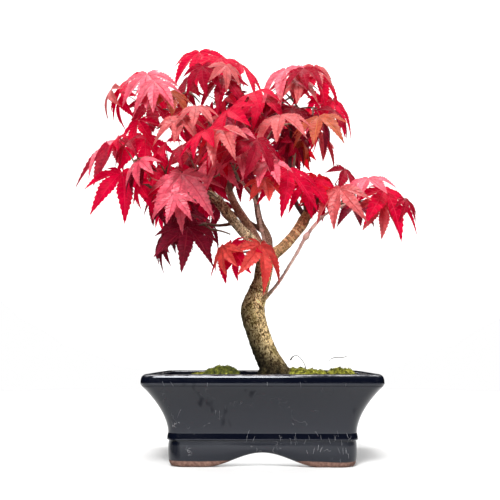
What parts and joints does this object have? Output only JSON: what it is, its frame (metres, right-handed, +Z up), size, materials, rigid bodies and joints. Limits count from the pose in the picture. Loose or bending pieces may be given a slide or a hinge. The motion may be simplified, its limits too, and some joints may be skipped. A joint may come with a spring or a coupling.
{
  "type": "maple bonsai in pot",
  "caption": "Small maple bonsai in red autumn leaf, with a leaning trunk, boughs and foliage masses, in a glazed rectangular pot on corner feet.",
  "frame": {"origin": "middle of the whole plant's bounding box, on the ground that the pot's feet stand on", "axes": "+Z up, +X along the pot's long side to the right as seen from the front, +Y from the front to the back"},
  "size_m": [0.3128, 0.2544, 0.3833],
  "materials": {
    "glaze": "gloss",
    "soil": "matte",
    "moss": "matte",
    "bark": "matte",
    "leaf": "satin"
  },
  "bodies": {
    "root": {"pot": "glaze", "soil": "soil", "moss_left": "moss", "moss_right_near": "moss", "moss_right_far": "moss", "moss_back_left": "moss", "moss_back_right": "moss", "trunk": "bark", "bough_left": "bark", "bough_right": "bark", "bough_back_left": "bark", "bough_back": "bark", "bough_front": "bark", "bough_low_right": "bark", "bough_upper_right": "bark", "bough_right_inner": "bark", "bough_right_outer": "bark", "bough_left_outer": "bark", "bough_left_lower": "bark", "bough_top": "bark", "bough_centre": "bark", "bough_back_right": "bark", "bough_back_low": "bark", "foliage_left_tip": "leaf", "foliage_left_front": "leaf", "foliage_lower_left": "leaf", "foliage_top_left": "leaf", "foliage_top": "leaf", "foliage_upper_right": "leaf", "foliage_centre": "leaf", "foliage_right_inner": "leaf", "foliage_right_outer": "leaf", "foliage_right_tip": "leaf", "foliage_fork": "leaf", "foliage_heart": "leaf", "foliage_back_left": "leaf", "foliage_back_top": "leaf", "foliage_back_right": "leaf"}
  },
  "joints": []
}
